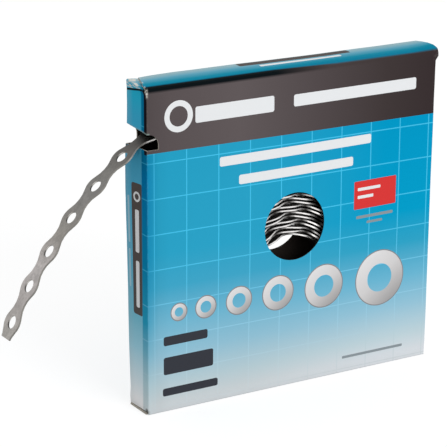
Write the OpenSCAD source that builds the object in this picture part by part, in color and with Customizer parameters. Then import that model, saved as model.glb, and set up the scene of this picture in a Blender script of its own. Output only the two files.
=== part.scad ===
// Perforated steel strap, coiled in a flat dispenser carton.
// Units are millimetres. The origin is the centre of the carton's bottom face,
// +X runs to the right along the printed front, which faces -Y, and +Z is up.

/* [Strap] */
// Width of the strap over its round lobes
strap_w = 12.7; // [10:0.1:14]
// Thickness of the strip
strap_t = 0.85; // [0.5:0.05:1.2]
// Distance from one hole to the next
pitch = 17.46; // [15:0.1:22]
// Width of the necks between the lobes
neck_w = 7.3; // [6.8:0.1:9]
// Diameter of the round holes
hole_d = 5.8; // [3:0.1:6.5]
// Length of strap that is wound on the coil
strap_len = 7620; // [5000:10:9000]

/* [Coil] */
// Outside diameter of the sagging coil
coil_d = 123; // [112:1:128]
// Diameter of the coil's open middle
bore_d = 44; // [40:1:50]
// Spacing of the turns where they press together at the bottom
wrap = 0.9; // [0.88:0.01:0.95]
// Depth of the gaps between the turns, seen on the coil's ends
turn_depth = 1; // [0.5:0.1:2]

/* [Tail] */
// Radius of the bend where the strap comes out over the slot
bend_r = 50; // [40:1:60]
// Slope of the strap where it crosses the slot, in degrees
lip_angle = 29.5; // [26:0.5:32]
// Slope at which the free end starts, in degrees
hang_angle = 38.5; // [36:0.5:42]
// Radius of the long curve of the free end
hang_r = 210; // [170:1:260]
// Length of the free end
hang_len = 95.6; // [60:0.2:110]
// Distance from the cut end to the first hole
tip_cut = 7.6; // [7:0.05:9]

/* [Carton] */
// Width of the front panel
carton_w = 154; // [148:0.5:164]
// Height of the front panel
carton_h = 152; // [148:0.5:164]
// Depth of the side panels
carton_d = 17; // [16:0.1:22]
// Thickness of the board
board_t = 0.6; // [0.4:0.05:0.8]
// Radius of the folded edges
fold_r = 0.9; // [0.85:0.05:1.2]
// Rise of the tucked lid towards its back edge
lid_rise = 1.2; // [0.5:0.1:2]
// Length of the tuck flaps
tuck_len = 12; // [8:0.5:16]
// Length of the dust flaps
dust_len = 15; // [8:0.5:16]
// Outward swell of the side panels at the folds of the dust flaps
fold_swell = 1; // [0.4:0.1:1.2]

/* [Openings] */
// Diameter of the round windows
window_d = 32.4; // [24:0.1:40]
// Height of the windows' centre
window_z = 78; // [70:0.5:84]
// Height of the slot's lower edge
slot_z = 124.2; // [122:0.1:128]
// Height of the slot
slot_h = 8.4; // [7:0.1:10]
// Reach of the slot onto the front and back panels
slot_reach = 6; // [4:0.1:8]

/* [Hidden] */

galvanised = "#8f8c86";
printed_blue = "#2a9cc4";

// Fits
seat_gap = 0.15;
lip_gap = 1;
flap_gap = 0.25;
through = 2;

// Smoothness: steps in each arc of an outline, and the length of a step along the tail
arc_steps = 6;
tail_step = 3;
round_fn = 96;

// Carton planes
half_w = carton_w / 2;
half_d = carton_d / 2;
lid_back = half_d - board_t - flap_gap;
flap_end = half_w - board_t / 2;
side_low = 2 * board_t + flap_gap;
side_top = carton_h - board_t - flap_gap;

// Coil: rings that touch at the bottom and stand apart at the top, because the coil sags
coil_r = coil_d / 2;
bore_r = bore_d / 2;
turns = round(strap_len / (PI * (coil_r + bore_r)));
ring_grow = (coil_r - strap_t - bore_r) / (turns - 1);
ring_lift = ring_grow - wrap;
coil_z = board_t + seat_gap + coil_r;
bore_z = coil_z - ring_lift * (turns - 1);
function ring_r(i) = bore_r + i * ring_grow;
function ring_z(i) = bore_z + i * ring_lift;

// Tail: three arcs that follow one another smoothly, from the cut end back to the coil.
// A slope is measured below the horizontal, and an arc's angle from +X towards +Z.
function outward(slope) = [-sin(slope), cos(slope)];
inside_angle = lip_angle / 2;
merge_depth = strap_t + 0.35;
bend_c = [-half_w, slot_z] - (bend_r - strap_t - lip_gap) * outward(lip_angle);
hang_c = bend_c + (bend_r - hang_r) * outward(hang_angle);
to_coil = [0, coil_z] - bend_c;
arch_lean = to_coil * outward(inside_angle);
arch_meet = bend_r - coil_r + merge_depth;
arch_r = bend_r + (to_coil * to_coil - arch_meet * arch_meet) / (2 * (arch_meet - arch_lean));
arch_c = bend_c + (bend_r - arch_r) * outward(inside_angle);
arch_end = atan2(coil_z - arch_c.y, -arch_c.x);
tip_angle = 90 + hang_angle + hang_len / hang_r * 180 / PI;
bend_len = (hang_angle - inside_angle) * PI / 180 * bend_r;
arch_len = (90 + inside_angle - arch_end) * PI / 180 * arch_r;
free_len = hang_len + bend_len + arch_len;
bury_len = 28;
hole_count = floor((free_len - bury_len - tip_cut) / pitch) + 1;

// The arc under a point of the tail: its centre, its radius and the point's angle,
// for a distance measured along the outer face from the cut end
function spot(along) =
    along <= hang_len ? [hang_c, hang_r, tip_angle - along / hang_r * 180 / PI] :
    along <= hang_len + bend_len ?
        [bend_c, bend_r, 90 + hang_angle - (along - hang_len) / bend_r * 180 / PI] :
        [arch_c, arch_r, 90 + inside_angle - (along - hang_len - bend_len) / arch_r * 180 / PI];

// A point in the tail's side view, at a distance from the cut end and a depth below the outer face
function tail_point(along, depth) =
    let (at = spot(along)) at[0] + (at[1] - depth) * [cos(at[2]), sin(at[2])];
tail_steps = ceil(free_len / tail_step);

// Strap outline: round lobes about the holes, joined by hollow necks
lobe_r = strap_w / 2;
neck_r = (pow(pitch / 2, 2) + pow(neck_w / 2, 2) - pow(lobe_r, 2)) / (strap_w - neck_w);
neck_c = neck_w / 2 + neck_r;
meet_angle = atan2(neck_c, pitch / 2);
spare = 1;

// Points of an arc in the plane
function arc(centre, r, from, to) =
    [for (i = [0 : arc_steps]) let (a = from + (to - from) * i / arc_steps)
        centre + r * [cos(a), sin(a)]];

// A profile in the X-Z plane, drawn out along Y
module across(w) {
    rotate([90, 0, 0]) linear_extrude(w, center = true) children();
}

// A profile in the Y-Z plane, drawn out along X
module along_x(w) {
    rotate([90, 0, 90]) linear_extrude(w, center = true) children();
}

// Stands children on the tail's outer face, with Z straight out of it
module on_tail(along) {
    at = spot(along);
    translate([at[0].x, 0, at[0].y]) rotate([0, 90 - at[2], 0])
        translate([0, 0, at[1]]) children();
}

// What is cut away on one edge between two lobes
module scallop() {
    half = pitch / 2;
    linear_extrude(6 * strap_t, center = true)
        polygon(concat(
            arc([-half, 0], lobe_r, 90, meet_angle),
            arc([0, neck_c], neck_r, 180 + meet_angle, 360 - meet_angle),
            arc([half, 0], lobe_r, 180 - meet_angle, 90),
            [[half, lobe_r + spare], [-half, lobe_r + spare]]));
}

module hole() {
    cylinder(h = 6 * strap_t, d = hole_d, center = true, $fn = round_fn);
}

// The wound strap, with the gaps between its turns cut into both ends
module coil() {
    difference() {
        across(strap_w) difference() {
            translate([0, coil_z]) circle(r = coil_r, $fn = round_fn);
            translate([0, bore_z]) circle(r = bore_r, $fn = round_fn);
        }
        for (end = [-1, 1], i = [0 : turns - 2])
            translate([0, end * strap_w / 2, 0]) across(2 * turn_depth) difference() {
                translate([0, ring_z(i + 1)]) circle(r = ring_r(i + 1), $fn = round_fn);
                translate([0, ring_z(i)]) circle(r = ring_r(i) + strap_t, $fn = round_fn);
            }
    }
}

// The end of the strap that leaves the coil, passes the slot and hangs free
module tail() {
    difference() {
        across(strap_w) polygon(concat(
            [for (i = [0 : tail_steps]) tail_point(free_len * i / tail_steps, 0)],
            [for (i = [tail_steps : -1 : 0]) tail_point(free_len * i / tail_steps, strap_t)]));
        for (k = [0 : hole_count - 1]) on_tail(tip_cut + k * pitch) hole();
        for (k = [0 : hole_count], side = [0, 1])
            on_tail(tip_cut + (k - 0.5) * pitch) mirror([0, side, 0]) scallop();
    }
}

module strap() {
    color(galvanised) union() {
        coil();
        tail();
    }
}

// Outline of the folded tube, inset by a board thickness for its inside
module tube_outline(inset, r) {
    x = half_w - inset - r;
    y = half_d - inset - r;
    polygon(concat(
        arc([x, y], r, 0, 90), arc([-x, y], r, 90, 180),
        arc([-x, -y], r, 180, 270), arc([x, -y], r, 270, 360)));
}

// The four upright panels: the front and back are full height, and the sides end
// at the folds of their dust flaps
module panels() {
    notch_d = carton_d - 2 * fold_r;
    difference() {
        linear_extrude(carton_h - fold_r) difference() {
            tube_outline(0, fold_r);
            tube_outline(board_t, fold_r - board_t);
        }
        for (side = [-1, 1]) translate([side * half_w, 0, 0]) {
            translate([-through, -notch_d / 2, side_top])
                cube([2 * through, notch_d, carton_h]);
            translate([-through, -notch_d / 2, -through])
                cube([2 * through, notch_d, through + side_low]);
        }
    }
}

// A dust flap and the swollen fold that turns it in from a side panel
module dust_flap(low) {
    flap_d = carton_d - 2 * fold_r - 2 * flap_gap;
    bead_r = fold_swell + board_t;
    translate([half_w - dust_len, -flap_d / 2, low]) cube([dust_len, flap_d, board_t]);
    intersection() {
        translate([half_w - board_t, 0, low + board_t / 2]) rotate([90, 0, 0])
            cylinder(h = flap_d, r = bead_r, center = true, $fn = round_fn);
        translate([half_w - board_t, -flap_d, low - bead_r + board_t])
            cube([2 * bead_r, 2 * flap_d, 2 * bead_r - board_t]);
    }
}

// An end closure: it folds over from the front panel and tucks in behind the back panel
module closure(rise) {
    edge = carton_h - fold_r;
    top = carton_h + rise;
    front = -half_d + fold_r;
    back = lid_back - fold_r;
    along_x(2 * flap_end) polygon(concat(
        [[-half_d, edge]],
        arc([front, edge], fold_r, 180, 90),
        arc([back, top - fold_r], fold_r, 90, 0),
        [[lid_back, edge - tuck_len], [lid_back - board_t, edge - tuck_len]],
        arc([back, top - fold_r], fold_r - board_t, 0, 90),
        arc([front, edge], fold_r - board_t, 90, 180)));
}

// Outline of the slot at the left edge of the front and back panels
module slot_outline() {
    corner = slot_reach - board_t;
    right = -half_w + slot_reach;
    top = slot_z + slot_h;
    polygon(concat(
        [[-half_w - through, slot_z], [right, slot_z]],
        arc([right - corner, top - corner], corner, 0, 90),
        [[-half_w - through, top]]));
}

module carton() {
    color(printed_blue) difference() {
        union() {
            panels();
            closure(lid_rise);
            translate([0, 0, carton_h]) mirror([0, 0, 1]) closure(0);
            for (side = [0, 1]) mirror([side, 0, 0]) {
                dust_flap(side_top - board_t);
                translate([0, 0, carton_h]) mirror([0, 0, 1])
                    dust_flap(carton_h - side_low - board_t);
            }
        }
        across(carton_d + through) slot_outline();
        across(carton_d + through)
            translate([0, window_z]) circle(d = window_d, $fn = round_fn);
    }
}

strap();
carton();
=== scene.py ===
"""Looks of a coil of perforated steel strap in its flat dispenser carton.

All sizes in the classes are millimetres. The scene is in metres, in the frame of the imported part:
+X runs to the right along the printed front, which faces -Y, and +Z is up.
"""
import logging
import math
from dataclasses import dataclass, field
from enum import IntEnum
from typing import Callable, Dict, List, NamedTuple, Optional, Sequence, Tuple, Union

import bpy
import bmesh
from mathutils import Matrix, Vector


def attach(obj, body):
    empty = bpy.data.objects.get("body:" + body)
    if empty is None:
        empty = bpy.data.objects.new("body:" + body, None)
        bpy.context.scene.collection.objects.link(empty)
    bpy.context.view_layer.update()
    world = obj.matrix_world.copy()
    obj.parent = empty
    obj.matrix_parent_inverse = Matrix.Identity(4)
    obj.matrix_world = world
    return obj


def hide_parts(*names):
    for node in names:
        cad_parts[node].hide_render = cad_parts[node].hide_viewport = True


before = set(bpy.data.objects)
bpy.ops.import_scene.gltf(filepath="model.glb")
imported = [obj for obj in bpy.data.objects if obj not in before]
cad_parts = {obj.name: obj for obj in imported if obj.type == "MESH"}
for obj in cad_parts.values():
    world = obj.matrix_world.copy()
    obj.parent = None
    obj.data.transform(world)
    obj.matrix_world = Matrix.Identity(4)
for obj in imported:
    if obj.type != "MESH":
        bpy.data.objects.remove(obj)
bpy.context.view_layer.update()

MM = 0.001
# Places closer than this, in millimetres, count as the same
NEAR = 0.05
LOG = logging.getLogger("strap_carton")

Piece = bpy.types.Object
Tree = bpy.types.NodeTree
Socket = bpy.types.NodeSocket
Value = Union[float, Sequence[float], Socket]
Inputs = Union[Sequence[Value], Dict[Union[int, str], Value]]
Point = Tuple[float, float, float]
Pairs = Tuple[Tuple[float, float], ...]
Stops = Tuple[Tuple[float, str], ...]
# Where a soft limit starts and where it is full, then its strength at both where that isn't 0 and 1
Limit = Tuple[float, ...]
Limits = Tuple[Limit, ...]
# How much of a coat shows, as one mask or as several that are multiplied, and its colour
Coat = Tuple[Union[Value, Tuple[Value, ...]], Union[str, Socket]]


class BoardFace(IntEnum):
    """Which of the board's surfaces a face shows, as its material slot."""

    PRINTED = 0
    INNER = 1
    CUT = 2


# Small helpers for work in object and edit mode


def deselect() -> None:
    """Leave edit mode and deselect every object."""
    if bpy.context.object and bpy.context.object.mode != "OBJECT":
        bpy.ops.object.mode_set(mode="OBJECT")
    bpy.ops.object.select_all(action="DESELECT")


def activate(obj: Piece) -> None:
    """Make one object the only selected and active one."""
    deselect()
    obj.select_set(True)
    bpy.context.view_layer.objects.active = obj


def edit(obj: Piece, mode: str = "VERT") -> None:
    """Enter edit mode on one object with nothing selected.

    Args:
        obj: The mesh object to edit.
        mode: The kind of element to select: VERT, EDGE or FACE.
    """
    activate(obj)
    bpy.ops.object.mode_set(mode="EDIT")
    bpy.ops.mesh.select_mode(type=mode)
    bpy.ops.mesh.select_all(action="DESELECT")


def choose(obj: Piece, kind: str, test: Callable) -> None:
    """Select the elements of the edited mesh that pass a test, and only those.

    Args:
        obj: The object in edit mode.
        kind: verts, edges or faces.
        test: A function of one bmesh element.
    """
    bpy.ops.mesh.select_mode(type={"verts": "VERT", "edges": "EDGE", "faces": "FACE"}[kind])
    bpy.ops.mesh.select_all(action="DESELECT")
    mesh = bmesh.from_edit_mesh(obj.data)
    for element in [element for element in getattr(mesh, kind) if test(element)]:
        element.select_set(True)
    mesh.select_flush_mode()
    bmesh.update_edit_mesh(obj.data)


def pick(obj: Piece, test: Callable[[Vector], bool]) -> None:
    """Select the points that pass a test on their place in millimetres."""
    choose(obj, "verts", lambda vert: test(vert.co / MM))


def pick_edges(obj: Piece, *tests: Callable[[Vector], bool]) -> None:
    """Select the edges with both ends passing one of the tests on their place in millimetres."""
    choose(obj, "edges", lambda edge: any(all(test(vert.co / MM) for vert in edge.verts) for test in tests))


def move(x: float = 0.0, y: float = 0.0, z: float = 0.0) -> None:
    """Translate the selection by millimetres."""
    bpy.ops.transform.translate(value=(x * MM, y * MM, z * MM))


def scale(by: Point, about: Point = (0, 0, 0)) -> None:
    """Resize the selection about a point given in millimetres."""
    bpy.ops.transform.resize(value=by, center_override=tuple(c * MM for c in about))


def extrude(x: float = 0.0, y: float = 0.0, z: float = 0.0) -> None:
    """Extrude the selection and move the new part by millimetres."""
    bpy.ops.mesh.extrude_region_move(TRANSFORM_OT_translate={"value": (x * MM, y * MM, z * MM)})


def bevel(offset: float, segments: int) -> None:
    """Round the selected edges, with an offset in millimetres."""
    bpy.ops.mesh.bevel(offset=offset * MM, segments=segments, affect="EDGES")


def face_outwards() -> None:
    """Make all faces of the edited mesh point outwards."""
    bpy.ops.mesh.select_all(action="SELECT")
    bpy.ops.mesh.normals_make_consistent(inside=False)


def slice_at(axis: int, places: Sequence[float]) -> None:
    """Cut the whole edited mesh by planes square to an axis.

    Args:
        axis: 0, 1 or 2 for X, Y or Z.
        places: Where the planes cross the axis, in millimetres.
    """
    square = Vector((0, 0, 0))
    square[axis] = 1
    for place in places:
        bpy.ops.mesh.select_all(action="SELECT")
        bpy.ops.mesh.bisect(plane_co=square * place * MM, plane_no=square)


def modify(obj: Piece, kind: str, **settings: object) -> None:
    """Add a modifier with its settings to an object and apply it."""
    activate(obj)
    added = obj.modifiers.new(kind.lower(), kind)
    for name, value in settings.items():
        setattr(added, name, value)
    bpy.ops.object.modifier_apply(modifier=added.name)


def settle(obj: Piece) -> None:
    """Apply an object's place, turn and scale to its mesh."""
    activate(obj)
    bpy.ops.object.transform_apply(location=True, rotation=True, scale=True)


def smooth(obj: Piece, degrees: float) -> None:
    """Shade smooth apart from the edges sharper than an angle."""
    activate(obj)
    bpy.ops.object.shade_smooth_by_angle(angle=math.radians(degrees))


# Small helpers for materials


def linear(code: str) -> Tuple[float, float, float, float]:
    """Turn an sRGB hex value such as #2A9CC4 into a linear colour."""
    parts = [int(code[i:i + 2], 16) / 255 for i in (1, 3, 5)]
    straight = [p / 12.92 if p <= 0.04045 else ((p + 0.055) / 1.055) ** 2.4 for p in parts]
    return (straight[0], straight[1], straight[2], 1.0)


def add(tree: Tree, kind: str, inputs: Inputs, out: Union[int, str] = 0,
        **settings: object) -> Optional[Socket]:
    """Add one shader node, set it and link it.

    Args:
        tree: The node tree that gets the node.
        kind: The node's type without its ShaderNode prefix, with its operation after a space.
        inputs: A value or a linked output for each input, in order or by the input's name or number.
        out: The output to return.
        **settings: Properties of the node.

    Returns:
        The chosen output socket, or None for a node that has none.
    """
    kind, _, operation = kind.partition(" ")
    made = tree.nodes.new("ShaderNode" + kind)
    if operation:
        settings["operation"] = operation
    for name, value in settings.items():
        setattr(made, name, value)
    for key, value in inputs.items() if isinstance(inputs, dict) else enumerate(inputs):
        if isinstance(value, Socket):
            tree.links.new(value, made.inputs[key])
        else:
            made.inputs[key].default_value = value
    return made.outputs[out] if len(made.outputs) else None


def blank_material(name: str) -> Tuple[bpy.types.Material, Tree]:
    """Make a material with an empty node tree."""
    material = bpy.data.materials.new(name)
    material.use_nodes = True
    material.node_tree.nodes.clear()
    return material, material.node_tree


def place_mm(tree: Tree) -> Socket:
    """Give a point's place on the part in millimetres."""
    metres = add(tree, "TexCoord", {}, out="Object")
    return add(tree, "VectorMath SCALE", {0: metres, "Scale": 1 / MM})


def overlap(tree: Tree, *masks: Value) -> Value:
    """Multiply masks, so that only what they share is left."""
    shared = masks[0]
    for mask in masks[1:]:
        shared = add(tree, "Math MULTIPLY", (shared, mask))
    return shared


def within(tree: Tree, *limits: Tuple[Value, Limit]) -> Socket:
    """Give a mask with soft limits.

    Args:
        tree: The node tree.
        *limits: Each measure with its limit.

    Returns:
        The mask, as the product of them all.
    """
    return overlap(tree, *(add(tree, "MapRange", (value, *limit)) for value, limit in limits))


def lay(tree: Tree, ground: Value, *coats: Coat) -> Socket:
    """Lay coats of colour over a ground, one after another.

    Args:
        tree: The node tree.
        ground: The colour below them all.
        *coats: The coats, the lowest first.

    Returns:
        The colour that shows.
    """
    for masks, colour in coats:
        share = overlap(tree, *masks) if isinstance(masks, tuple) else masks
        over = linear(colour) if isinstance(colour, str) else colour
        ground = add(tree, "Mix", {0: share, 6: ground, 7: over}, out=2, data_type="RGBA")
    return ground


def fade(tree: Tree, value: Socket, stops: Stops) -> Socket:
    """Turn a measure in millimetres into a colour that fades from stop to stop.

    Args:
        tree: The node tree.
        value: The measure.
        stops: Each stop's measure, in rising order, and its sRGB hex value.

    Returns:
        The colour.
    """
    low, high = stops[0][0], stops[-1][0]
    colour = add(tree, "ValToRGB", (within(tree, (value, (low, high))),))
    elements = colour.node.color_ramp.elements
    while len(elements) < len(stops):
        elements.new(0.5)
    for element, (place, code) in zip(elements, stops):
        element.position = (place - low) / (high - low)
        element.color = linear(code)
    return colour


def surface(tree: Tree, height: Socket, relief: Tuple[float, float], sockets: Dict[str, Value]) -> None:
    """Finish a material.

    Args:
        tree: The node tree.
        height: The pattern that stands up from the surface.
        relief: The strength of its bump, and its depth in millimetres.
        sockets: What goes to each of the shader's other sockets.
    """
    strength, depth = relief
    bump = add(tree, "Bump", {"Height": height, "Strength": strength, "Distance": depth * MM})
    shader = add(tree, "BsdfPrincipled", {**sockets, "Normal": bump})
    add(tree, "OutputMaterial", {"Surface": shader})


@dataclass(frozen=True)
class Bar:
    """A plain bar of ink with round corners, in millimetres on its panel."""

    across: float
    up: float
    width: float
    height: float
    corner: float = 1.0
    hollow: float = 0.0

    def mask(self, tree: Tree, place: Socket) -> Socket:
        """Draw the bar.

        Args:
            tree: The node tree.
            place: The panel's own coordinates, across in X and up in Z.

        Returns:
            A mask that is 1 on the bar.
        """
        half = (self.width / 2 - self.corner, 0, self.height / 2 - self.corner)
        off = add(tree, "VectorMath SUBTRACT", (place, (self.across, 0, self.up)))
        off = add(tree, "VectorMath ABSOLUTE", (off,))
        off = add(tree, "VectorMath SUBTRACT", (off, half))
        off = add(tree, "VectorMath MAXIMUM", (off, (0, 0, 0)))
        far = add(tree, "VectorMath LENGTH", (off,), out="Value")
        middle = (self.corner + self.hollow) / 2
        return add(tree, "Math COMPARE", (far, middle, self.corner - middle))


def ring(across: float, up: float, outer: float, inner: float) -> Bar:
    """Give a plain flat ring of ink, as a hollow bar that is round all over."""
    return Bar(across, up, 2 * outer, 2 * outer, outer, inner)


# Each ink with its marks, the lowest first
Marks = List[Tuple[str, List[Bar]]]


@dataclass(frozen=True)
class GalvanisedSteel:
    """Hot-dip galvanised strip, blanked after coating: dull grey zinc with sheared edges, and painted light
    and shade along the strip, on the coil's edges and in the holes.
    """

    thickness: float = 0.85
    pitch: float = 17.46
    hole: float = 5.8
    first_hole: float = 7.6
    # Painted shade darkens the zinc towards the slot, and the wound strip is darker still
    zinc_and_shade_stops: Stops = (
        (0.0, "#A9A6A1"), (16.0, "#AEA9A6"), (34.0, "#BAB5B3"), (51.0, "#96928C"), (69.0, "#84827F"),
        (86.0, "#7C7A76"), (97.0, "#64615D"), (105.0, "#4C4946"), (114.0, "#3C3A38"))
    wound_zinc_shade: str = "#3C3A38"
    sheared: str = "#807D78"
    # Painted highlight on the edges of the coil's lobes
    lobe_highlight: str = "#E2E0DE"
    # Painted light and shade on the walls of the holes
    wall_light_and_shade_stops: Stops = (
        (-2.9, "#4A4743"), (-0.9, "#5A5753"), (0.7, "#BDB9B4"), (1.9, "#BDB9B4"), (2.9, "#6A6762"))
    spangle: float = 1.1
    glint: Limit = (0.0, 1.0, 0.85, 1.15)
    roughness: Limit = (0.0, 1.0, 0.42, 0.56)
    metallic: float = 0.85
    grime: float = 6.25
    grime_shade: Limit = (0.3, 0.7, 0.82, 1.08)
    wound: Limit = (92.0, 114.0)
    edge_on: Limit = (0.35, 0.6)
    # Where the coil's edges take the painted highlight: across the strip and through its thickness
    lobe: Limit = (3.7, 4.5)
    brightened: Limit = (0.4, 0.24)
    skin: float = 0.4
    relief: Tuple[float, float] = (0.12, 0.2)

    def material(self) -> bpy.types.Material:
        """Build the material.

        Returns:
            The finished material, which reads the strip's own flat coordinates.
        """
        material, tree = blank_material("galvanised_steel")
        flat = add(tree, "Attribute", {}, out="Vector", attribute_name="strip_mm")
        along, across, deep = add(tree, "SeparateXYZ", (flat,)).node.outputs
        across = add(tree, "Math ABSOLUTE", (across,))

        # Zinc crystals give faint patches about a millimetre across, under wider patches of grime
        cells = add(tree, "TexVoronoi", {"Vector": flat, "Scale": 1 / self.spangle}, out="Color")
        patch = add(tree, "SeparateColor", (cells,))
        grime = add(tree, "TexNoise", {"Vector": flat, "Scale": 1 / self.grime, "Detail": 4.0})
        shade = within(tree, (grime, self.grime_shade), (patch, self.glint))
        # The strip is lightest at its free end and darkens towards the slot with painted shade, and the
        # wound strip's faces carry painted shade too
        tone = fade(tree, along, self.zinc_and_shade_stops)
        tone = add(tree, "VectorMath SCALE", {0: tone, "Scale": shade})
        toward_coil = within(tree, (along, self.wound))

        # On the coil the lobes' edges carry a painted highlight, and the necks between them painted shade
        normal = add(tree, "NewGeometry", {}, out="True Normal")
        aside = add(tree, "SeparateXYZ", (normal,), out="Y")
        aside = add(tree, "Math ABSOLUTE", (aside,))
        deep = add(tree, "Math ADD", (deep, self.thickness / 2))
        deep = add(tree, "Math ABSOLUTE", (deep,))
        lobe = within(tree, (across, self.lobe), (deep, self.brightened))
        coiled = lay(tree, linear(self.wound_zinc_shade), (lobe, self.lobe_highlight))
        edge = lay(tree, linear(self.sheared), (toward_coil, coiled))

        # The walls of the punched holes carry painted light and shade: dark towards the free end, with a
        # painted highlight towards the coil
        near = add(tree, "Math SUBTRACT", (along, self.first_hole))
        near = add(tree, "Math WRAP", (near, self.pitch / 2, -self.pitch / 2))
        off = add(tree, "CombineXYZ", (near, across))
        off = add(tree, "VectorMath LENGTH", (off,), out="Value")
        wall = add(tree, "Math LESS_THAN", (off, self.hole / 2 + NEAR))
        tone = lay(tree, tone, (within(tree, (aside, self.edge_on)), edge),
                   (wall, fade(tree, near, self.wall_light_and_shade_stops)))
        skin = add(tree, "TexNoise", {"Vector": flat, "Scale": 1 / self.skin, "Detail": 3.0})
        surface(tree, skin, self.relief, {"Base Color": tone, "Metallic": self.metallic,
                                          "Roughness": within(tree, (patch, self.roughness))})
        return material


class Spot(NamedTuple):
    """Where a point of the board lies, in millimetres, and which way its face looks."""

    place: Socket
    x: Socket
    y: Socket
    z: Socket
    level: Socket
    front: Socket
    back: Socket
    top: Socket
    left: Socket


@dataclass(frozen=True)
class PrintedBoard:
    """Folding boxboard, offset printed and lightly varnished, with pale wear along its folds."""

    grid: float = 16.5
    grid_across: float = -7.5
    grid_up: float = 51.6
    grid_line: float = 0.5
    grid_wrapped: float = 0.5
    header_low: float = 122.15
    print_tilt: float = 0.0072
    slot_high: float = 132.45
    slot_tilt: float = 0.117
    # The blue field, fading up the panel, with a painted sheen on the left
    field_stops: Stops = (
        (0.0, "#D4D9DC"), (5.0, "#CCD4D7"), (13.0, "#BACFD6"), (28.0, "#93C2D6"),
        (43.0, "#72B7D2"), (60.0, "#40A6C9"), (76.0, "#2CA2C7"), (122.0, "#269EC3"))
    # The same field without the painted sheen, towards the right
    unsheened_field_stops: Stops = (
        (0.0, "#DEE2E6"), (5.0, "#D8DEE3"), (13.0, "#C2D6DD"), (28.0, "#98C6DA"),
        (43.0, "#6CB7D4"), (60.0, "#30A3C7"), (76.0, "#059DC9"), (122.0, "#0396C4"))
    grid_stops: Stops = (
        (0.0, "#D4D9DC"), (13.0, "#BED3DA"), (28.0, "#9ECDE1"), (43.0, "#83C8E3"),
        (60.0, "#56C0E4"), (76.0, "#48C4EB"), (122.0, "#45C0E7"))
    side_stops: Stops = (
        (0.0, "#FAFAFA"), (5.0, "#F6F8FA"), (15.0, "#D6EAF2"), (30.0, "#A2D6E8"), (44.0, "#7CC2D8"),
        (70.0, "#62B4D2"), (110.0, "#52B0D4"), (138.0, "#3CACD2"), (147.0, "#2AB2D4"))
    wrap_stops: Stops = (
        (0.0, "#D6DEE1"), (15.0, "#B0D0DA"), (30.0, "#6FB4CC"), (44.0, "#2A9DC1"),
        (70.0, "#0A86B4"), (110.0, "#0078B0"), (122.0, "#00749F"))
    # The header's ink, darkening to the right partly with painted shade
    header_ink_and_shade_stops: Stops = (
        (-77.0, "#585051"), (-30.0, "#605859"), (14.0, "#504849"), (50.0, "#403838"), (77.0, "#382F30"))
    lid_stops: Stops = (
        (-8.0, "#057999"), (-5.0, "#08809F"), (-2.8, "#1B8BA6"), (0.8, "#64A6BC"), (4.8, "#95B9C2"),
        (8.0, "#A5C3CA"))
    # Painted shade in the lid's front fold, near black on the left, then the header's ink
    turned_ink_and_shade_stops: Stops = (
        (-77.0, "#0D1417"), (-10.0, "#0D1417"), (18.0, "#463E3E"), (50.0, "#403838"), (77.0, "#382F30"))
    white_ink: str = "#E6E8EA"
    black_ink: str = "#3B3D44"
    grey_ink: str = "#8D979C"
    red_ink: str = "#D93B3A"
    label_ink: str = "#5A5452"
    pale_ink: str = "#A5CCDC"
    ring_inks: Tuple[str, str, str] = ("#A3A1A1", "#D3D1D1", "#E4E3E4")
    ring_light: Point = (-0.6, 0, 0.8)
    rim_ink: str = "#8B898B"
    rim: float = 0.5
    # How far a face looks to the front, back, top or left before it counts as one
    faces_front: float = -0.6
    faces_back: float = 0.9
    faces_top: float = 0.6
    faces_left: float = -0.35
    header_side: str = "#17131A"
    side_pale: str = "#B9CBCF"
    # Painted shadow along the left flap's fold
    flap_fold_shadow: str = "#120E0E"
    worn: str = "#DCD8D0"
    frayed: str = "#8FA39D"
    shade_patch_ink: str = "#55554F"
    # The print: where a painted sheen on its left gives way to plain ink, the painted shade by the left
    # fold, and where it wraps round to the side
    sheen_fade: Limit = (-25.0, 50.0)
    fold_shade: Limit = (-77.0, -66.0, 0.9, 1.0)
    by_fold: Limit = (-71.5, -77.0, 0.0, 0.6)
    paler: Limit = (3.0, 8.5, 0.0, 0.2)
    field_wrap: Limit = (-3.2, -4.0)
    header_wrap: Limit = (-5.6, -6.2)
    # The lid's front fold, where the header's ink turns it and painted shade darkens it: how far, and how
    # much less on the right
    turned: Limit = (-5.0, -6.4)
    turned_less: Limit = (-10.0, 22.0, 0.0, 2.2)
    turned_up: Limit = (149.6, 150.8)
    # Wear on the upright folds: in the specks, across, front to back and up, then to the left and forward
    rub: Limits = ((0.4, 0.62), (76.1, 76.8), (7.6, 8.3), (146.5, 149.0, 0.03, 0.95),
                   (0.0, -70.0, 0.05, 1.0), (0.0, -4.0, 0.2, 1.0))
    # The cracked fold of the left flap: in the streaks, above the fold, to the left, from the front, from
    # the back and beside the lid
    crack: Limits = ((0.46, 0.56, 0.0, 0.85), (0.5, 0.8), (-70.0, -75.0), (-7.5, -5.5), (8.2, 7.8),
                     (-74.0, -74.5))
    crack_up: float = 150.25
    crack_slope: float = -0.155
    lid_slope: float = -0.33
    # Where the painted shadow line along the left flap's fold lies
    groove_shadow: Limit = (0.7, 0.3)
    streak_turn: Point = (0.5, 0, 0)
    streak_stretch: Point = (0.5, 0.35, 1.5)
    # The frayed edge over the slot: over it, under it, to the left and forward
    fray: Limits = ((0.8, 0.3, 0.0, 0.7), (-0.6, -0.3), (-75.4, -76.0), (8.0, -4.0))
    # Each patch of painted shade: its middle and reach
    shade_patches: Tuple[Tuple[Point, float], ...] = (
        ((-77.0, -7.1, 1.3), 1.8), ((-78.4, 8.2, 123.6), 2.6), ((-77.6, 4.5, 124.0), 1.6))
    shade_patch_strength: float = 0.85
    roughness: Limit = (0.3, 0.7, 0.4, 0.5)
    specular: float = 0.004
    relief: Tuple[float, float] = (0.05, 0.3)

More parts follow.
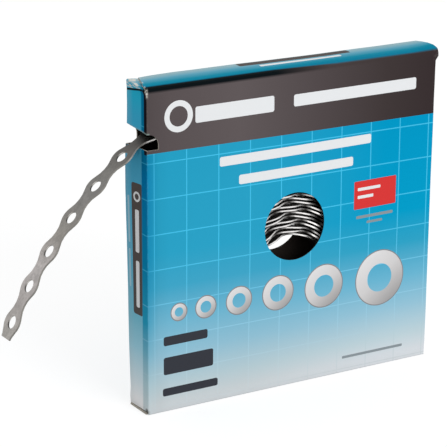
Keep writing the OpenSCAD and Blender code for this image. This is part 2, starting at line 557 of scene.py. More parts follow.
    def front_marks(self) -> Marks:
        """List the plain marks on the front."""
        return [
            (self.white_ink, [ring(-61, 138, 7.2, 4.6), Bar(-32, 137.5, 41, 7.4), Bar(33, 137.5, 68, 5.6),
                              Bar(1, 114.2, 82, 4.4), Bar(1, 104.6, 62, 4.4)]),
            (self.red_ink, [Bar(45, 87.4, 24, 13.6, 0.6)]),
            (self.white_ink, [Bar(41.5, 90.2, 13, 1.5, 0.4), Bar(39.5, 86.4, 9, 1.5, 0.4)]),
            (self.black_ink, [Bar(-57.5, 34, 23, 4.4), Bar(-56, 22, 26, 8.4), Bar(-55, 9.4, 29, 3.8)]),
            (self.grey_ink, [Bar(45, 76.6, 21, 1.4, 0.4), Bar(45, 73.6, 9, 1.2, 0.4),
                             Bar(46, 7.6, 35, 1.3, 0.4)]),
        ]

    def side_marks(self) -> Marks:
        """List the plain marks on the slotted side, with Y as across."""
        return [
            (self.label_ink, [Bar(-0.1, 76.9, 7.4, 61.8, 1.2)]),
            (self.white_ink, [ring(-0.1, 101.5, 2.4, 1.4), Bar(-0.1, 85.5, 2.8, 20, 0.8),
                              Bar(-0.1, 60.5, 2.6, 22, 0.8)]),
            (self.pale_ink, [Bar(6.0, 90, 1.3, 22, 0.4), Bar(6.0, 67, 1.3, 18, 0.4)]),
        ]

    def lid_marks(self) -> Marks:
        """List the plain marks by the lid's back fold, with Y as up."""
        return [(self.label_ink, [Bar(7, 4.6, 60, 4.4, 0.8)]), (self.white_ink, [Bar(8, 0.2, 44, 1.8, 0.6)])]

    def rings(self) -> List[Bar]:
        """List the grey rings that grow along a level row across the front."""
        return [ring(-61, 47, 4.4, 2.2), ring(-47, 47, 5.6, 2.8), ring(-29.5, 47, 7.0, 3.5),
                ring(-8.5, 47, 8.6, 4.3), ring(17, 46, 10.8, 5.4), ring(49, 44.5, 14.0, 7.0)]

    def spot(self, tree: Tree) -> Spot:
        """Measure where a point of the board lies and which way it faces.

        Args:
            tree: The node tree.

        Returns:
            The measures, with the height along the print, which lies at a slight tilt to the board.
        """
        place = place_mm(tree)
        x, y, z = add(tree, "SeparateXYZ", (place,)).node.outputs
        normal = add(tree, "NewGeometry", {}, out="True Normal")
        nx, ny, nz = add(tree, "SeparateXYZ", (normal,)).node.outputs
        level = add(tree, "Math MULTIPLY_ADD", (x, self.print_tilt, z))
        front = add(tree, "Math LESS_THAN", (ny, self.faces_front))
        back = add(tree, "Math GREATER_THAN", (ny, self.faces_back))
        top = add(tree, "Math GREATER_THAN", (nz, self.faces_top))
        left = add(tree, "Math LESS_THAN", (nx, self.faces_left))
        return Spot(place, x, y, z, level, front, back, top, left)

    def inked(self, tree: Tree, place: Socket, panel: Socket, marks: Marks) -> List[Coat]:
        """Print plain marks.

        Args:
            tree: The node tree.
            place: The panel's own coordinates.
            panel: A mask that is 1 on the panel.
            marks: The marks by their ink.

        Returns:
            A coat for each mark.
        """
        return [((mark.mask(tree, place), panel), ink) for ink, drawn in marks for mark in drawn]

    def ruled(self, tree: Tree, value: Socket, start: float) -> Socket:
        """Rule the grid's thin lines square to one measure.

        Args:
            tree: The node tree.
            value: The measure in millimetres.
            start: Where one of the lines lies.

        Returns:
            A mask that is 1 on the lines.
        """
        off = add(tree, "Math SUBTRACT", (value, start))
        # Ping-pong gives the distance to the nearest line
        off = add(tree, "Math PINGPONG", (off, self.grid / 2))
        return add(tree, "Math LESS_THAN", (off, self.grid_line / 2))

    def panels(self, tree: Tree, at: Spot) -> Socket:
        """Print the front and the back: the blue field with its pale grid and the dark header.

        Args:
            tree: The node tree.
            at: The measures of the spot.

        Returns:
            The colour.
        """
        header = add(tree, "Math GREATER_THAN", (at.level, self.header_low))
        line_ink = fade(tree, at.z, self.grid_stops)
        # A painted sheen lightens the field towards the left, and painted shade darkens the panels towards
        # the left fold
        art = lay(tree, fade(tree, at.z, self.field_stops),
                  (within(tree, (at.x, self.sheen_fade)), fade(tree, at.z, self.unsheened_field_stops)),
                  (self.ruled(tree, at.x, self.grid_across), line_ink),
                  (self.ruled(tree, at.level, self.grid_up), line_ink),
                  (header, fade(tree, at.x, self.header_ink_and_shade_stops)))
        fold_shade = within(tree, (at.x, self.fold_shade))
        art = add(tree, "VectorMath SCALE", {0: art, "Scale": fold_shade})
        below = add(tree, "Math LESS_THAN", (at.z, self.header_low))
        by_fold = within(tree, (at.x, self.by_fold))
        return lay(tree, art, ((by_fold, below), fade(tree, at.z, self.wrap_stops)))

    def sides(self, tree: Tree, at: Spot) -> Socket:
        """Print the sides: a paler blue, with the front's print wrapped a little way round the fold.

        Args:
            tree: The node tree.
            at: The measures of the spot.

        Returns:
            The colour.
        """
        end_on = add(tree, "CombineXYZ", {0: at.y, 2: at.z})
        lines = self.ruled(tree, at.level, self.grid_up)
        wrapped = lay(tree, fade(tree, at.z, self.wrap_stops),
                      ((lines, self.grid_wrapped), fade(tree, at.z, self.grid_stops)))
        high = add(tree, "Math GREATER_THAN", (at.z, self.header_low))
        return lay(tree, fade(tree, at.z, self.side_stops),
                   (within(tree, (at.y, self.paler)), self.side_pale),
                   *self.inked(tree, end_on, at.left, self.side_marks()),
                   (within(tree, (at.y, self.field_wrap)), wrapped),
                   ((within(tree, (at.y, self.header_wrap)), high), self.header_side))

    def front(self, tree: Tree, at: Spot) -> List[Coat]:
        """Print the grey rings, lit from one side, and the plain marks on the front alone.

        Args:
            tree: The node tree.
            at: The measures of the spot.

        Returns:
            The coats.
        """
        face_on = add(tree, "CombineXYZ", {0: at.x, 2: at.z})
        coats: List[Coat] = []
        for band in self.rings():
            lean = add(tree, "VectorMath SUBTRACT", (face_on, (band.across, 0, band.up)))
            lean = add(tree, "VectorMath DOT_PRODUCT", (lean, self.ring_light), out="Value")
            steel = fade(tree, lean, tuple(zip((-band.corner, 0.0, band.corner), self.ring_inks)))
            rim = ring(band.across, band.up, band.corner, band.corner - self.rim)
            coats.append(((band.mask(tree, face_on), at.front), steel))
            coats.append(((rim.mask(tree, face_on), at.front), self.rim_ink))
        return coats + self.inked(tree, face_on, at.front, self.front_marks())

    def lid(self, tree: Tree, at: Spot) -> List[Coat]:
        """Print the lid in plain blue, with the header turned over its front fold and painted shade in that
        fold.

        Args:
            tree: The node tree.
            at: The measures of the spot.

        Returns:
            The coats.
        """
        over = add(tree, "CombineXYZ", {0: at.x, 2: at.y})
        # The header turns the fold further along its left half, and painted shade makes it near black there
        turned = add(tree, "Math ADD", (at.y, within(tree, (at.x, self.turned_less))))
        turned = within(tree, (turned, self.turned), (at.z, self.turned_up))
        return [(at.top, fade(tree, at.y, self.lid_stops)),
                *self.inked(tree, over, at.top, self.lid_marks()),
                (turned, fade(tree, at.x, self.turned_ink_and_shade_stops))]

    def wear(self, tree: Tree, at: Spot) -> List[Coat]:
        """Wear the board along its folds and round its slot, and paint shade along the left flap's fold, in
        the crushed corner and by the slot.

        Args:
            tree: The node tree.
            at: The measures of the spot.

        Returns:
            The coats.
        """
        # Pale wear on the upright folds, strong only by the lid's left corner, in specks about 1 mm across
        specks = add(tree, "TexNoise", {"Vector": at.place, "Scale": 0.9, "Detail": 6.0})
        out_x = add(tree, "Math ABSOLUTE", (at.x,))
        out_y = add(tree, "Math ABSOLUTE", (at.y,))
        brightened = within(tree, *zip((specks, out_x, out_y, at.z, at.x, at.y), self.rub))

        # The left flap has cracked along its fold, and bare board shows above it in streaks, over a painted
        # shadow line along the fold
        grain = add(tree, "Mapping", {0: at.place, 2: self.streak_turn, 3: self.streak_stretch})
        streaks = add(tree, "TexNoise", {"Vector": grain, "Scale": 0.8, "Detail": 1.0})
        fold = add(tree, "Math MULTIPLY_ADD", (at.y, self.crack_slope, self.crack_up))
        above = add(tree, "Math SUBTRACT", (at.z, fold))
        by_lid = add(tree, "Math MULTIPLY_ADD", (at.y, self.lid_slope, at.x))
        crack = within(tree, *zip((streaks, above, at.x, at.y, at.y, by_lid), self.crack))
        groove_shadow = add(tree, "Math ABSOLUTE", (above,))
        groove_shadow = within(tree, (groove_shadow, self.groove_shadow))

        # The lower edge of the side above the slot is frayed to bare board
        over = add(tree, "Math MULTIPLY_ADD", (at.y, -self.slot_tilt, at.z))
        over = add(tree, "Math SUBTRACT", (over, self.slot_high))
        frayed = within(tree, *zip((over, over, at.x, at.y), self.fray))
        coats = [(brightened, self.worn), ((groove_shadow, at.left), self.flap_fold_shadow), (crack, self.worn),
                 (frayed, self.frayed)]

        # Patches of painted shade: in the dent of the crushed corner by the floor, and by the slot where the
        # strip goes in
        for middle, reach in self.shade_patches:
            far = add(tree, "VectorMath DISTANCE", (at.place, middle), out="Value")
            spread = within(tree, (far, (reach, reach / 2, 0.0, self.shade_patch_strength)))
            coats.append((spread, self.shade_patch_ink))
        return coats

    def material(self) -> bpy.types.Material:
        """Build the printed face's material.

        Returns:
            The finished material, which reads Object coordinates.
        """
        material, tree = blank_material("printed_boxboard")
        at = self.spot(tree)
        broad = add(tree, "Math MAXIMUM", (at.front, at.back))
        colour = lay(tree, self.sides(tree, at), (broad, self.panels(tree, at)), *self.front(tree, at),
                     *self.lid(tree, at), *self.wear(tree, at))
        # Board fibres about a millimetre long show faintly through the varnish
        fibre = add(tree, "TexNoise", {"Vector": at.place, "Scale": 1.1, "Detail": 4.0})
        surface(tree, fibre, self.relief, {"Base Color": colour, "Specular IOR Level": self.specular,
                                           "Roughness": within(tree, (fibre, self.roughness))})
        return material


@dataclass(frozen=True)
class RawBoard:
    """Bare boxboard as it shows inside the carton or on its cut edges: matt pulp with short fibres."""

    name: str
    pulp: str
    fleck: str
    fleck_share: Limit = (0.35, 0.7)
    roughness: float = 0.9
    specular: float = 0.15
    relief: Tuple[float, float] = (0.15, 0.2)

    def material(self) -> bpy.types.Material:
        """Build the material.

        Returns:
            The finished material, which reads Object coordinates.
        """
        material, tree = blank_material(self.name)
        # Fibres are about half a millimetre long
        fibre = add(tree, "TexNoise", {"Vector": place_mm(tree), "Scale": 1.6, "Detail": 5.0})
        colour = lay(tree, linear(self.pulp), (within(tree, (fibre, self.fleck_share)), self.fleck))
        surface(tree, fibre, self.relief, {"Base Color": colour, "Roughness": self.roughness,
                                           "Specular IOR Level": self.specular})
        return material


@dataclass
class Strap:
    """The strip of steel: wavy edges and one row of holes, wound on a coil with a free end."""

    width: float = 12.7
    thickness: float = GalvanisedSteel.thickness
    pitch: float = GalvanisedSteel.pitch
    neck: float = 7.3
    hole: float = GalvanisedSteel.hole
    length: float = 7620.0
    tip_cut: float = GalvanisedSteel.first_hole
    slot_corner: Tuple[float, float] = (-77.0, 124.2)
    lip_gap: float = 1.0
    bend_r: float = 50.0
    lip_angle: float = 29.5
    hang_angle: float = 38.5
    hang_r: float = 210.0
    hang_len: float = 95.6
    coil_r: float = 61.5
    coil_z: float = 62.25
    merge_depth: float = 1.2
    bore_r: float = 22.0
    wrap: float = 0.93
    slump: float = 1.5
    slump_turns: float = 0.4
    spare_turns: float = 0.3
    # How finely the lobes, the necks, the three arcs of the free end and the coil are drawn
    round_steps: int = 32
    lobe_steps: int = 5
    neck_steps: int = 2
    arc_steps: Tuple[int, int, int] = (40, 16, 40)
    coil_step: float = 5.0
    # The broken rims of the free end: how far along it, how wide and from what angle
    rims_end: float = 140.0
    rim: float = 0.12
    rim_angle: float = 60.0
    smooth_angle: float = 40.0
    finish: GalvanisedSteel = field(default_factory=GalvanisedSteel)

    def half_width(self, off: float) -> float:
        """Give half the strip's width at a distance from the nearest hole's centre."""
        lobe = self.width / 2
        half = self.pitch / 2
        hollow = (half ** 2 + (self.neck / 2) ** 2 - lobe ** 2) / (self.width - self.neck)
        return self.neck / 2 + hollow - math.sqrt(hollow ** 2 - (half - off) ** 2)

    def route(self) -> List[Tuple[float, float]]:
        """Lay out the outer face of the strip from its cut end to the middle of the coil.

        Returns:
            The points of the path in the X-Z plane, in millimetres.
        """
        def outward(slope: float) -> Vector:
            """Give the direction that leans to the left of straight up by some degrees."""
            return Vector((-math.sin(math.radians(slope)), math.cos(math.radians(slope))))

        def around(centre: Vector, r: float, angle: float) -> Tuple[float, float]:
            """Give the point of a circle at some degrees."""
            turn = math.radians(angle)
            return (centre.x + r * math.cos(turn), centre.y + r * math.sin(turn))

        inside = self.lip_angle / 2
        reach = self.bend_r - self.thickness - self.lip_gap
        bend = Vector(self.slot_corner) - reach * outward(self.lip_angle)
        hang = bend + (self.bend_r - self.hang_r) * outward(self.hang_angle)
        to_coil = Vector((0, self.coil_z)) - bend
        meet = self.bend_r - self.coil_r + self.merge_depth
        lean = to_coil.dot(outward(inside))
        arch_r = self.bend_r + (to_coil.dot(to_coil) - meet ** 2) / (2 * (meet - lean))
        arch = bend + (self.bend_r - arch_r) * outward(inside)
        arch_end = math.degrees(math.atan2(self.coil_z - arch.y, -arch.x))
        tip = 90 + self.hang_angle + math.degrees(self.hang_len / self.hang_r)
        stretches = ((hang, self.hang_r, tip, 90 + self.hang_angle),
                     (bend, self.bend_r, 90 + self.hang_angle, 90 + inside),
                     (arch, arch_r, 90 + inside, arch_end))
        points: List[Tuple[float, float]] = []
        for (centre, r, start, stop), steps in zip(stretches, self.arc_steps):
            points += [around(centre, r, start + (stop - start) * i / steps) for i in range(steps)]
        used = sum(math.dist(a, b) for a, b in zip(points, points[1:]))

        # Each turn of the coil is smaller and hangs a little lower than the one outside it
        first_r = self.coil_r - self.merge_depth
        last_r = self.bore_r + self.thickness
        turns = (self.length - used) / (math.pi * (first_r + last_r))
        grow = (first_r - last_r) / turns
        lift = grow - self.wrap
        for i in range(int((turns + self.spare_turns) * 360 / self.coil_step)):
            turn = i * self.coil_step / 360
            ease = min(turn / self.slump_turns, 1.0)
            sag = self.slump * ease * ease * (3 - 2 * ease)
            centre = Vector((0, self.coil_z - lift * turn - sag))
            points.append(around(centre, first_r - grow * turn, arch_end - i * self.coil_step))
        LOG.info("strap route: %.1f turns, %.2f mm growth, %d points", turns, grow, len(points))
        return points

    def link(self) -> Piece:
        """Model one hole with its lobe and two half necks, flat on the X-Y plane.

        Returns:
            The open sheet of one link, centred on its hole.
        """
        lobe = self.width / 2
        deselect()
        bpy.ops.mesh.primitive_circle_add(vertices=self.round_steps, radius=self.hole / 2 * MM)
        obj = bpy.context.object
        edit(obj)
        bpy.ops.mesh.select_all(action="SELECT")
        extrude()
        scale((self.width / self.hole, self.width / self.hole, 1))
        meet = math.radians(360 / self.round_steps * self.lobe_steps)
        flat = lobe * math.cos(meet)
        step = (self.pitch / 2 - flat) / self.neck_steps
        for side in (1, -1):
            pick(obj, lambda p: p.xy.length > 0.9 * lobe and p.x * side > flat - NEAR)
            scale((0, 1, 1), (side * flat, 0, 0))
            before = lobe * math.sin(meet)
            for k in range(1, self.neck_steps + 1):
                now = self.half_width(flat + step * k)
                extrude(x=side * step)
                scale((1, now / before, 1))
                before = now
        deselect()
        return obj

    def build(self) -> Piece:
        """Model the strip flat, wind it along its route and dress it.

        Returns:
            The finished strip.
        """
        def rim(edge: bmesh.types.BMEdge) -> bool:
            """Tell the sharp rims of the free end from other edges."""
            free = all(vert.co.x < self.rims_end * MM for vert in edge.verts)
            inside = len(edge.link_faces) == 2
            return free and inside and edge.calc_face_angle() > math.radians(self.rim_angle)

        obj = self.link()
        obj.name = "strap_strip"
        count = int((self.length - self.tip_cut) / self.pitch)
        modify(obj, "ARRAY", count=count, use_relative_offset=False, use_constant_offset=True,
               constant_offset_displace=(self.pitch * MM, 0, 0), use_merge_vertices=True,
               merge_threshold=0.01 * MM)
        edit(obj, "FACE")
        bpy.ops.mesh.select_all(action="SELECT")
        move(x=self.tip_cut)
        extrude(z=-self.thickness)
        bpy.ops.mesh.select_all(action="SELECT")
        bpy.ops.mesh.bisect(plane_co=(0, 0, 0), plane_no=(1, 0, 0), use_fill=True, clear_inner=True)
        face_outwards()
        # The blanked rims of the free end are broken a little, as rollers leave them
        choose(obj, "edges", rim)
        bevel(self.rim, 1)
        deselect()
        self.remember(obj)
        obj.rotation_euler = (-math.pi / 2, 0, 0)
        settle(obj)
        path = self.guide()
        modify(obj, "CURVE", object=path, deform_axis="POS_X")
        bpy.data.objects.remove(path)
        obj.rotation_euler = (math.pi / 2, 0, 0)
        settle(obj)
        smooth(obj, self.smooth_angle)
        obj.data.materials.append(self.finish.material())
        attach(obj, "root")
        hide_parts("strap")
        return obj

    def remember(self, obj: Piece) -> None:
        """Keep each point's place on the flat strip, in millimetres, for the zinc's pattern."""
        kept = obj.data.attributes.new("strip_mm", "FLOAT_VECTOR", "POINT")
        for vert, place in zip(obj.data.vertices, kept.data):
            place.vector = vert.co / MM

    def guide(self) -> Piece:
        """Make the flat curve that the strip is wound along.

        Returns:
            The curve, with the part's Z along its Y.
        """
        curve = bpy.data.curves.new("strap_route", "CURVE")
        curve.dimensions = "2D"
        points = self.route()
        spline = curve.splines.new("POLY")
        spline.points.add(len(points) - 1)
        for point, (x, z) in zip(spline.points, points):
            point.co = (x * MM, z * MM, 0, 1)
        path = bpy.data.objects.new("strap_route", curve)
        bpy.context.scene.collection.objects.link(path)
        return path


@dataclass
class Carton:
    """The folded box: one blank of board with tucked ends, two windows and a slot."""

    width: float = 154.0
    depth: float = 17.0
    height: float = 152.0
    board: float = 0.6
    fold_r: float = 0.5
    fold_steps: int = 3
    # The cuts across the panels. Each level row has the bow of the left side and the lean of the right
    rows: Tuple[Point, ...] = (
        (4, 0.35, 0.12), (8, 0.08, 0.25), (20, 0.45, 0.4), (32, 0.75, 0.42), (44, 0.9, 0.45),
        (56, 1.0, 0.5), (68, 1.2, 0.56), (80, 1.4, 0.62), (92, 1.7, 0.65), (104, 1.9, 0.8),
        (114, 1.9, 0.9), (121, 1.8, 0.92), (128.5, 1.0, 0.92), (136, 0.8, 1.05), (143, 0.7, 1.1),
        (147, 0.75, 1.2), (149, 0.7, 2.7))
    columns: Tuple[float, ...] = (-66, -55, -44, -33, -22, -11, 0, 11, 22, 33, 44, 55, 66)
    depths: Tuple[float, ...] = (-4.0, 0.0, 4.0)
    # From where to where, front to back, the left side bows, and the share of the bow there
    bow_bands: Tuple[Point, ...] = ((-0.5, 0.5, 0.35), (3.5, 4.5, 0.7), (7.0, 9.0, 1.0))
    swell_left: float = 1.0
    swell_right: float = 2.6
    swell_front: float = 0.9
    swell_back: float = 1.2
    swell_z: float = 80.0
    swell_reach: float = 74.0
    side_top: float = 150.9
    side_low_front: float = 1.0
    side_low_back: float = 0.64
    dust: float = 15.0
    dust_fold: float = 1.5
    dust_tapers: Tuple[float, float] = (0.9, 0.92)
    tuck: float = 12.5
    tuck_taper: float = 0.985
    floor_left: float = 1.0
    lid_rise: float = 1.2
    lid_back: float = 7.65
    # The lid from front to back: its share of the rise, then how far its left end and its right end are
    # moved across and up
    lid_shape: Tuple[Tuple[float, ...], ...] = (
        (-7.2, 0.15, 0.3, 0.0, 0.3, 0.6), (-4.0, 0.45, 1.2, 0.0, 0.5, 1.0), (0.0, 0.8, 2.6, 0.0, 0.2, 0.5),
        (4.0, 0.97, 4.0, -0.1, -0.6, 0.2), (7.65, 1.0, 5.2, -0.2, -1.9, 0.0))
    lid_end: float = 74.0
    # The lid from left to right: how far it is swollen up
    lid_swell: Pairs = (
        (-76.5, 0.5), (-66, 0.6), (-55, 0.75), (-44, 0.65), (-33, 0.65), (-22, 0.6), (-11, 0.45),
        (0, 0.4), (11, 0.3), (22, 0.25), (33, 0.3), (44, 0.3), (55, 0.25), (66, 0.3), (76.5, 0.3))
    # From where to where, front to back, the left flap climbs, and how far, at its fold and at its end
    left_climb: Tuple[Point, ...] = (
        (-5.0, -2.0, 0.8), (-1.0, 1.0, 1.5), (2.5, 5.0, 2.2), (6.0, 8.1, 2.6), (8.1, 8.7, 1.9))
    climb_fold: float = 2.5
    climb_end: float = 0.25
    window_d: float = 32.4
    window_z: float = 78.0
    window_drift: float = 0.75
    window_steps: int = 96
    slot_z: float = 124.2
    slot_h: float = 8.25
    slot_tilt: float = PrintedBoard.slot_tilt
    slot_slant: float = 0.106
    slot_reach: float = 6.0
    slot_spare: float = 12.0
    slot_steps: int = 10
    smooth_angle: float = 35.0
    printed: PrintedBoard = field(default_factory=PrintedBoard)
    # The board's inside is painted near black as painted shade, where little light reaches it
    inner: RawBoard = field(default_factory=lambda: RawBoard("inner_boxboard_painted_dark", "#231E1B", "#2C2622"))
    cut: RawBoard = field(default_factory=lambda: RawBoard("cut_boxboard", "#A29C92", "#BDB7AC"))

    def tube(self) -> Piece:
        """Fold the four upright panels.

        Returns:
            The open tube as a single sheet.
        """
        half_w = self.width / 2
        deselect()
        bpy.ops.mesh.primitive_cube_add(size=MM, location=(0, 0, self.height / 2 * MM),
                                        scale=(self.width, self.depth, self.height))
        obj = bpy.context.object
        settle(obj)
        edit(obj, "FACE")
        choose(obj, "faces", lambda face: abs(face.normal.z) > 0.9)
        bpy.ops.mesh.delete(type="ONLY_FACE")
        choose(obj, "edges", lambda edge: abs(edge.verts[0].co.z - edge.verts[1].co.z) > MM)
        bevel(self.fold_r, self.fold_steps)
        slice_at(2, [row[0] for row in self.rows])
        slice_at(0, self.columns)
        slice_at(1, self.depths)
        # The sides and the back end a little lower than the lid's fold
        pick(obj, lambda p: p.z > self.height - NEAR and p.y > NEAR - self.depth / 2)
        move(z=self.side_top - self.height)
        flat = self.depth / 2 - self.fold_r
        for y in (-flat, *self.depths, flat):
            share = (y + flat) / (2 * flat)
            pick(obj, lambda p: p.z < NEAR and abs(p.x) > half_w - NEAR and abs(p.y - y) < NEAR)
            move(z=self.side_low_front + (self.side_low_back - self.side_low_front) * share)
        return obj

    def bow(self, obj: Piece) -> None:
        """Push the back edge of the slotted side outwards, and lean the other side out to its top."""
        corner = self.width / 2 - self.fold_r - NEAR
        for z, bowed, leaning in self.rows:
            for low, high, share in self.bow_bands:
                pick(obj, lambda p: abs(p.z - z) < NEAR and p.x < -corner and low < p.y < high)
                move(x=-bowed * share)
            pick(obj, lambda p: abs(p.z - z) < NEAR and p.x > corner)
            move(x=leaning)

    def bulge(self, obj: Piece) -> None:
        """Let the two broad panels swell a little in the middle, as a filled carton's do."""
        for side, swell in ((-1, self.swell_front), (1, self.swell_back)):
            pick(obj, lambda p: p.y * side > self.depth / 2 - NEAR and abs(p.x) < NEAR
                 and abs(p.z - self.swell_z) < NEAR)
            bpy.ops.transform.translate(
                value=(0, side * swell * MM, 0), use_proportional_edit=True, use_proportional_connected=True,
                proportional_edit_falloff="SMOOTH", proportional_size=self.swell_reach * MM)

    def dust_flaps(self, obj: Piece) -> None:
        """Fold the four small flaps in from the side panels."""
        half_w = self.width / 2
        flat = self.depth / 2 - self.fold_r + NEAR
        for side, swell in ((-1, self.swell_left), (1, self.swell_right)):
            for top in (True, False):
                out = swell if top else 0.0

                def at_end(p: Vector) -> bool:
                    """Tell the points at this end of the side panels."""
                    return p.z > self.side_top - NEAR if top else p.z < self.side_low_front + NEAR

                def at_fold(p: Vector) -> bool:
                    """Tell the points on the flap's own fold."""
                    return at_end(p) and p.x * side > half_w + out - NEAR and abs(p.y) < flat

                if top:
                    pick(obj, lambda p: at_end(p) and p.x * side > half_w - self.fold_r - NEAR)
                    move(x=side * out)
                pick_edges(obj, at_fold)
                for reach, taper in zip((self.dust_fold + out, self.dust), self.dust_tapers):
                    extrude(x=-side * reach)
                    scale((1, taper, 1))
                pick_edges(obj, at_fold)
                bevel(self.fold_r, 2)

    def ends(self, obj: Piece) -> None:
        """Fold the lid and the bottom over the small flaps and tuck them in at the back."""
        half_d = self.depth / 2
        corner = self.width / 2 - self.fold_r
        for top in (True, False):
            edge_z = self.height if top else 0.0
            rise = self.lid_rise if top else 0.0

            def at_front(p: Vector) -> bool:
                """Tell the points on the front fold of the lid or the bottom."""
                on_edge = abs(p.z - edge_z) < NEAR and abs(p.y + half_d) < NEAR
                return on_edge and abs(p.x) < corner + self.swell_right + NEAR

            def at_back(p: Vector) -> bool:
                """Tell the points on the back fold, without the lip of the bottom."""
                inside = top or p.x > -corner - NEAR
                return inside and abs(p.z - edge_z) < self.tuck / 2 and abs(p.y - self.lid_back) < NEAR

            def at_left(p: Vector) -> bool:
                """Tell the points on the left end of the bottom."""
                return p.z < NEAR and p.x < NEAR - corner and 2 * NEAR - half_d < p.y < self.lid_back + NEAR

            pick_edges(obj, at_front)
            last_y, last_share = -half_d, 0.0
            for y, share, *_ in self.lid_shape:
                extrude(y=y - last_y, z=rise * (share - last_share))
                last_y, last_share = y, share
            extrude(z=-self.tuck if top else self.tuck)
            scale((self.tuck_taper, 1, 1))
            if top:
                self.shape_lid(obj)
            else:
                pick_edges(obj, at_left)
                extrude(x=-self.floor_left)
            pick_edges(obj, at_back, at_front)
            bevel(self.fold_r, self.fold_steps)

    def shape_lid(self, obj: Piece) -> None:
        """Swell the lid between its folds and trim its two ends as they are worn."""
        high = self.height + self.lid_rise / 2
        for x, off in self.lid_swell:
            # The lid's two ends have moved out with the sides
            reach = NEAR + (self.swell_right if abs(x) > self.lid_end else 0.0)
            pick(obj, lambda p: p.z > high and p.y > -NEAR and abs(p.x - x) < reach)
            move(z=off)
        for y, _, *trims in self.lid_shape:
            # The back fold takes the tuck below it along
            low = self.height - self.tuck if y == self.lid_back else self.height + 2 * NEAR
            for side, off, lift in ((-1, *trims[:2]), (1, *trims[2:])):
                pick(obj, lambda p: abs(p.y - y) < NEAR and p.x * side > self.lid_end and p.z > low)
                move(x=off, z=lift)

    def lift_flap(self, obj: Piece) -> None:
        """Let the worn flap at the top of the slotted side spring up towards its back."""
        left = -self.width / 2
        fold = left + self.climb_fold
        end = left + self.dust_fold + self.dust + NEAR
        bands = ((2 * left, fold, 1.0), (fold, end, self.climb_end))
        for low, high, climb in self.left_climb:
            for start, stop, share in bands:
                pick(obj, lambda p: -self.fold_r - NEAR < p.z - self.side_top < 2 * NEAR
                     and start < p.x < stop and low < p.y < high)
                move(z=climb * share)

    def window_tool(self) -> Piece:
        """Make the tool that punches the windows, the back one a little to the left of the front one.

        Returns:
            The tool.
        """
        deselect()
        slant = math.atan(self.window_drift / self.depth)
        bpy.ops.mesh.primitive_cylinder_add(
            vertices=self.window_steps, radius=self.window_d / 2 * MM, depth=2 * self.depth * MM,
            location=(-self.window_drift / 2 * MM, 0, self.window_z * MM), rotation=(math.pi / 2, 0, slant))
        obj = bpy.context.object
        settle(obj)
        return obj

    def slot_tool(self) -> Piece:
        """Make the tool that punches the slot.

        Returns:
            The tool.
        """
        right = self.slot_reach - self.width / 2
        high = self.slot_z + self.slot_h
        deselect()
        bpy.ops.mesh.primitive_cube_add(
            size=MM, scale=(self.slot_spare, 2 * self.depth, self.slot_h),
            location=((right - self.slot_spare / 2) * MM, 0, (self.slot_z + self.slot_h / 2) * MM))
        obj = bpy.context.object
        settle(obj)
        edit(obj, "EDGE")
        # The slot's upper edge climbs from its front to its back, and its end slants
        for side in (-1, 1):
            pick(obj, lambda p: p.z > high - 2 * NEAR and p.y * side > 0)
            move(z=side * self.slot_tilt * self.depth)
            pick(obj, lambda p: p.x > right - 2 * NEAR and p.y * side > 0)
            move(x=-self.slot_slant * (side * self.depth + self.depth / 2))
        pick_edges(obj, lambda p: p.x > right - self.slot_spare / 2 and p.z > high - self.slot_h / 2)
        bevel(self.slot_reach - self.board, self.slot_steps)
        deselect()
        return obj

    def build(self) -> Piece:
        """Fold the blank, give it its thickness, punch it and dress it.

        Returns:
            The finished carton.
        """
        obj = self.tube()
        obj.name = "carton_board"
        for shape in (self.bow, self.bulge, self.dust_flaps, self.ends, self.lift_flap):
            shape(obj)
        bpy.ops.mesh.select_all(action="SELECT")
        bpy.ops.mesh.remove_doubles(threshold=0.005 * MM)
        face_outwards()
        deselect()
        skins = [finish.material() for finish in (self.printed, self.inner, self.cut)]
        for skin in skins:
            obj.data.materials.append(skin)
        modify(obj, "SOLIDIFY", thickness=self.board * MM, offset=-1, use_even_offset=True,
               material_offset=BoardFace.INNER, material_offset_rim=BoardFace.CUT)
        # The bottom's lip is bare board on its upper face too
        for face in obj.data.polygons:
            middle = face.center / MM
            if middle.z < self.board + NEAR and middle.x < self.fold_r - self.width / 2:
                face.material_index = BoardFace.CUT
        # The windows' cut walls take the near-black inside colour as painted shade, and the slot's walls
        # show cut board
        for tool, shown in ((self.window_tool(), BoardFace.INNER), (self.slot_tool(), BoardFace.CUT)):
            for skin in skins:
                tool.data.materials.append(skin)
            for face in tool.data.polygons:
                face.material_index = shown
            modify(obj, "BOOLEAN", operation="DIFFERENCE", object=tool, solver="MANIFOLD",
                   material_mode="INDEX")
            bpy.data.objects.remove(tool)
        smooth(obj, self.smooth_angle)
        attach(obj, "root")
        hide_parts("carton")
        return obj


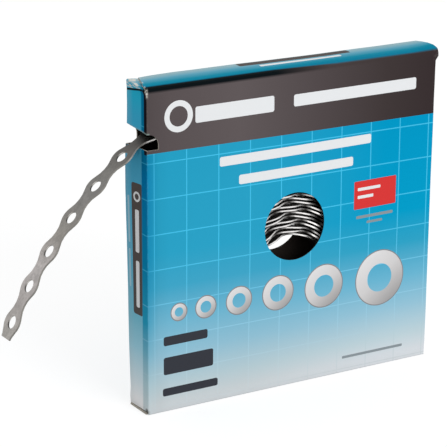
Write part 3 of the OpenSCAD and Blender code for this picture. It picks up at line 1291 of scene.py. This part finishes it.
@dataclass
class Studio:
    """The white floor, the soft light and the camera at the photograph's angle, all in metres."""

    camera_at: Point = (-0.50992, -0.79173, 0.37277)
    forward: Point = (0.49245, 0.81698, -0.30005)
    right: Point = (0.85721, -0.51494, 0.00478)
    sensor: float = 36.0
    lens: float = 171.3
    nearest: float = 0.01
    fill: float = 0.78
    key_power: float = 8.1
    key_at: Point = (0.15, -1.25, 0.55)
    key_aim: Point = (0, 0, 0.08)
    key_size: float = 0.9
    floor_half: float = 4.0
    floor_tone: Tuple[float, float, float, float] = (0.45, 0.45, 0.45, 1)
    floor_glow: float = 0.64

    def camera(self) -> None:
        """Stand the camera where the photograph was taken."""
        deselect()
        bpy.ops.object.camera_add()
        obj = bpy.context.object
        ahead = Vector(self.forward).normalized()
        up = Vector(self.right).cross(ahead).normalized()
        right = ahead.cross(up)
        turn = Matrix((right, up, -ahead)).transposed()
        obj.matrix_world = Matrix.Translation(self.camera_at) @ turn.to_4x4()
        obj.data.sensor_width = self.sensor
        obj.data.lens = self.lens
        obj.data.clip_start = self.nearest
        bpy.context.scene.camera = obj

    def seen(self, tree: Tree) -> Socket:
        """Tell the rays that see the white ground apart from those that light the part.

        Args:
            tree: The node tree.

        Returns:
            A mask that is 1 for the rays that see it.
        """
        path = add(tree, "LightPath", {}).node
        seen = path.outputs["Is Camera Ray"]
        for kind in ("Is Glossy Ray", "Is Transmission Ray"):
            seen = add(tree, "Math MAXIMUM", (seen, path.outputs[kind]))
        return seen

    def light(self) -> None:
        """Light the part with an even white dome and one soft lamp from the front."""
        world = bpy.data.worlds.new("studio_dome")
        bpy.context.scene.world = world
        world.use_nodes = True
        tree = world.node_tree
        tree.nodes.clear()
        strength = within(tree, (self.seen(tree), (0.0, 1.0, self.fill, 1.0)))
        dome = add(tree, "Background", {"Color": (1, 1, 1, 1), "Strength": strength})
        add(tree, "OutputWorld", {"Surface": dome})
        deselect()
        bpy.ops.object.light_add(type="AREA", location=self.key_at)
        lamp = bpy.context.object
        lamp.data.shape = "DISK"
        lamp.data.size = self.key_size
        lamp.data.energy = self.key_power
        aim = Vector(self.key_aim) - Vector(self.key_at)
        lamp.rotation_euler = aim.to_track_quat("-Z", "Y").to_euler()

    def floor(self) -> None:
        """Lay a plain pale floor that reads white and keeps a faint shadow."""
        deselect()
        bpy.ops.mesh.primitive_plane_add(size=2 * self.floor_half)
        obj = bpy.context.object
        obj.name = "studio_floor"
        material, tree = blank_material("white_paper")
        paper = add(tree, "BsdfDiffuse", {"Color": self.floor_tone})
        glow = within(tree, (self.seen(tree), (0.0, 1.0, 0.0, self.floor_glow)))
        glow = add(tree, "Emission", {"Strength": glow})
        add(tree, "OutputMaterial", {"Surface": add(tree, "AddShader", (paper, glow))})
        obj.data.materials.append(material)

    def build(self) -> None:
        """Set up the camera, the light and the floor."""
        bpy.context.scene.view_settings.view_transform = "Standard"
        self.camera()
        self.light()
        self.floor()


def main() -> None:
    logging.basicConfig(level=logging.INFO)
    Studio().build()
    for sub_assembly in (Carton(), Strap()):
        piece = sub_assembly.build()
        LOG.info("%s: %d points, %d faces", piece.name, len(piece.data.vertices), len(piece.data.polygons))


if __name__ == "__main__":
    main()
